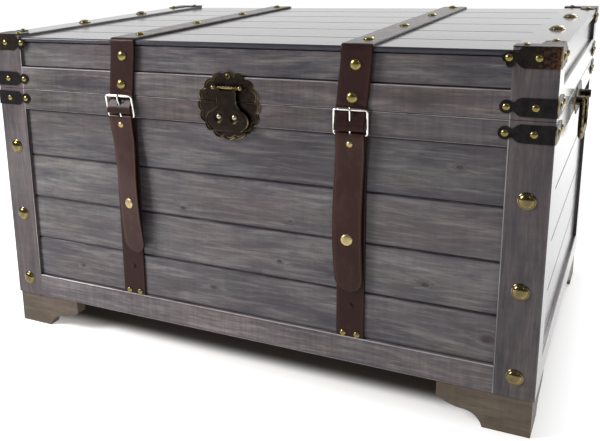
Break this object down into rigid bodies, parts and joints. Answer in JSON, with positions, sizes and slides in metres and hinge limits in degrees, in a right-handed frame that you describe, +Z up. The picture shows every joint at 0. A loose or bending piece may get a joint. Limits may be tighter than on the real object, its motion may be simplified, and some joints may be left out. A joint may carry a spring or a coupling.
{
  "type": "sea chest",
  "caption": "Frame-and-board wooden trunk with a hinged lid, bracket feet, metal corners, a round hasp, buckled straps and drop handles.",
  "frame": {"origin": "on the floor under the middle of the chest", "axes": "+X along the width, the front faces -Y, +Z up"},
  "size_m": [0.726, 0.5195, 0.4195],
  "materials": {
    "grey_wood": "grey washed pine boards and rails, satin",
    "grey_wood_upright": "grey washed pine with upright grain, satin",
    "foot_wood": "weathered grey-brown wood, matte",
    "leather": "dark red-brown strap leather, satin",
    "brass": "antique brass",
    "dark_bronze": "near-black antique bronze, satin",
    "nickel": "bright nickel wire"
  },
  "bodies": {
    "base": {"back_boards": "grey_wood", "base_corner_brackets": "dark_bronze", "base_small_nails": "brass", "bottom_panel": "grey_wood", "bottom_rail_back": "grey_wood", "bottom_rail_front": "grey_wood", "bottom_rail_left": "grey_wood", "bottom_rail_right": "grey_wood", "feet": "foot_wood", "front_board_1": "grey_wood", "front_board_2": "grey_wood", "front_board_3": "grey_wood", "front_board_4": "grey_wood", "handle_plate_left": "dark_bronze", "handle_plate_right": "dark_bronze", "hasp_lower_plate": "dark_bronze", "hinge_base_leaves": "dark_bronze", "hinge_pins": "dark_bronze", "left_boards": "grey_wood", "post_back_left": "grey_wood_upright", "post_back_right": "grey_wood_upright", "post_front_left": "grey_wood_upright", "post_front_right": "grey_wood_upright", "post_nails": "brass", "right_boards": "grey_wood", "top_rail_back": "grey_wood", "top_rail_front": "grey_wood", "top_rail_left": "grey_wood", "top_rail_right": "grey_wood", "under_straps": "leather"},
    "lid": {"buckle_left": "nickel", "buckle_right": "nickel", "end_strip_nails": "brass", "hasp_pin": "brass", "hasp_upper_plate": "dark_bronze", "hinge_lid_leaves": "dark_bronze", "lid_boards": "grey_wood", "lid_corner_brackets": "dark_bronze", "lid_corner_caps": "dark_bronze", "lid_corner_nails": "brass", "lid_posts": "grey_wood_upright", "lid_rails": "grey_wood", "lid_strap_left": "leather", "lid_strap_right": "leather", "strap_nails": "brass", "top_board_1": "grey_wood", "top_board_2": "grey_wood", "top_board_3": "grey_wood", "top_board_4": "grey_wood", "top_board_5": "grey_wood", "top_board_6": "grey_wood", "top_end_strips": "grey_wood"},
    "hasp_flap": {"hasp_flap": "dark_bronze", "hasp_studs": "brass"},
    "flap_left": {"strap_flap_left": "leather", "flap_studs_left": "brass"},
    "flap_right": {"strap_flap_right": "leather", "flap_studs_right": "brass"},
    "handle_left": {"handle_bail_left": "dark_bronze"},
    "handle_right": {"handle_bail_right": "dark_bronze"}
  },
  "joints": [
    {"name": "lid_hinge", "type": "hinge", "parent": "base", "child": "lid", "pos_m": [0, 0.2543, 0.3439], "axis": [-1, 0, 0], "range_deg": [0, 100]},
    {"name": "hasp_swing", "type": "hinge", "parent": "lid", "child": "hasp_flap", "pos_m": [0, -0.2549, 0.361], "axis": [-1, 0, 0], "range_deg": [0, 120]},
    {"name": "flap_left_swing", "type": "hinge", "parent": "lid", "child": "flap_left", "pos_m": [-0.148, -0.2545, 0.3175], "axis": [-1, 0, 0], "range_deg": [0, 80]},
    {"name": "flap_right_swing", "type": "hinge", "parent": "lid", "child": "flap_right", "pos_m": [0.148, -0.2545, 0.3175], "axis": [-1, 0, 0], "range_deg": [0, 80]},
    {"name": "handle_left_swing", "type": "hinge", "parent": "base", "child": "handle_left", "pos_m": [-0.358, 0, 0.326], "axis": [0, 1, 0], "range_deg": [0, 120]},
    {"name": "handle_right_swing", "type": "hinge", "parent": "base", "child": "handle_right", "pos_m": [0.358, 0, 0.326], "axis": [0, -1, 0], "range_deg": [0, 120]}
  ]
}
